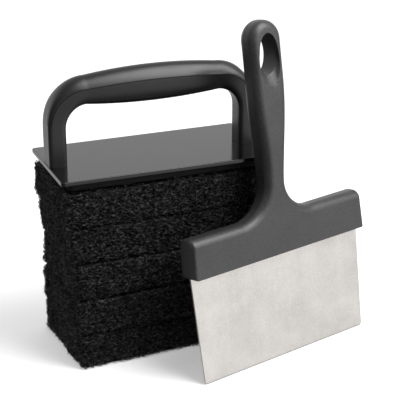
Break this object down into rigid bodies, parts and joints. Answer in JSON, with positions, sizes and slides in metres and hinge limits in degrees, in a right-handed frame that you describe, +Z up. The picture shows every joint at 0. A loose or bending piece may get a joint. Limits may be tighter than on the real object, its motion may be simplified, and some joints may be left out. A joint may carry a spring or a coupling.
{
  "type": "griddle cleaning set",
  "caption": "Griddle cleaning set: a looped handle on a hooked plate holds a stack of black scouring pads, with a wide-bladed scraper leaning against it.",
  "frame": {"origin": "on the surface the set stands on, straight below the middle of the pad holder's plate", "axes": "+X along the plate's long side, +Y to the back, away from the leaning scraper, +Z up"},
  "size_m": [0.222, 0.1332, 0.2348],
  "materials": {
    "pad_fibre": "open black non-woven nylon fibre",
    "hook_nylon": "matt black hook strip",
    "mat_rubber": "matt black foamed rubber",
    "plate_plastic": "polished black",
    "handle_plastic": "satin black with a fine moulded grain",
    "insert_brass": "turned and knurled",
    "screw_steel": "zinc plated",
    "blade_steel": "stainless, rolled, light vertical brushing",
    "scraper_plastic": "dark grey with a fine moulded grain"
  },
  "bodies": {
    "lowest_pad": {"scouring_pad_5": "pad_fibre"},
    "fourth_pad": {"scouring_pad_4": "pad_fibre"},
    "third_pad": {"scouring_pad_3": "pad_fibre"},
    "second_pad": {"scouring_pad_2": "pad_fibre"},
    "top_pad": {"scouring_pad_1": "pad_fibre"},
    "holder": {"hook_sheet": "hook_nylon", "backing_mat": "mat_rubber", "plate": "plate_plastic", "handle_core": "handle_plastic", "handle_cover": "handle_plastic", "threaded_inserts": "insert_brass", "plate_screws": "screw_steel"},
    "scraper": {"scraper_blade": "blade_steel", "scraper_handle": "scraper_plastic"}
  },
  "joints": [
    {"name": "fourth_pad_lift", "type": "slide", "parent": "lowest_pad", "child": "fourth_pad", "axis": [0, 0.259, 0.9659], "range_m": [0, 0.05]},
    {"name": "third_pad_lift", "type": "slide", "parent": "fourth_pad", "child": "third_pad", "axis": [0, 0.259, 0.9659], "range_m": [0, 0.05]},
    {"name": "second_pad_lift", "type": "slide", "parent": "third_pad", "child": "second_pad", "axis": [0, 0.259, 0.9659], "range_m": [0, 0.05]},
    {"name": "top_pad_lift", "type": "slide", "parent": "second_pad", "child": "top_pad", "axis": [0, 0.259, 0.9659], "range_m": [0, 0.05]},
    {"name": "holder_lift", "type": "slide", "parent": "top_pad", "child": "holder", "axis": [0, 0.259, 0.9659], "range_m": [0, 0.06]},
    {"name": "scraper_lift", "type": "slide", "parent": "lowest_pad", "child": "scraper", "axis": [0, 0, 1], "range_m": [0, 0.2]}
  ]
}
